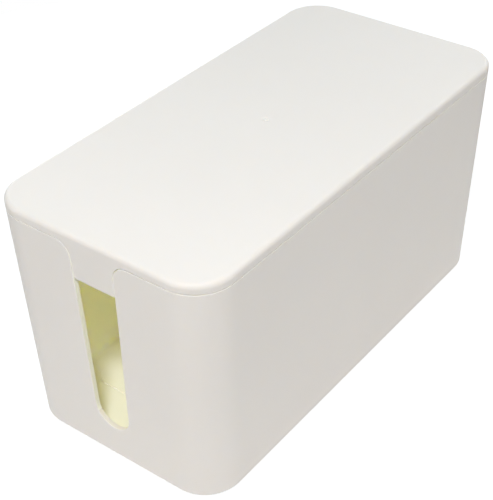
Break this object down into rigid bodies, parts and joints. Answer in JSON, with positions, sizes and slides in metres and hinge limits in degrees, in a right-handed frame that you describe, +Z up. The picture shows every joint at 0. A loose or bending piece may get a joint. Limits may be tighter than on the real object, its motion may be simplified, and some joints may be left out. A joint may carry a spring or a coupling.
{
  "type": "cable management box",
  "caption": "Oblong cable management box: drafted tub with a tall cable slot in each end, lift-off lid whose tongues close the slots' mouths, and rubber feet.",
  "frame": {"origin": "middle of the box on the surface it stands on", "axes": "+X along the box's length, towards one slotted end; +Y across its width; +Z up, the way the lid lifts off"},
  "size_m": [0.235, 0.116, 0.12],
  "materials": {
    "tub_plastic": "off-white satin moulded plastic, warmer inside",
    "lid_plastic": "off-white satin moulded plastic",
    "foot_rubber": "matt grey rubber"
  },
  "bodies": {
    "tub": {"tub": "tub_plastic", "foot_left_front": "foot_rubber", "foot_right_front": "foot_rubber", "foot_left_back": "foot_rubber", "foot_right_back": "foot_rubber"},
    "lid": {"lid": "lid_plastic"}
  },
  "joints": [
    {"name": "lid_lift", "type": "slide", "parent": "tub", "child": "lid", "axis": [0, 0, 1], "range_m": [0, 0.06]}
  ]
}
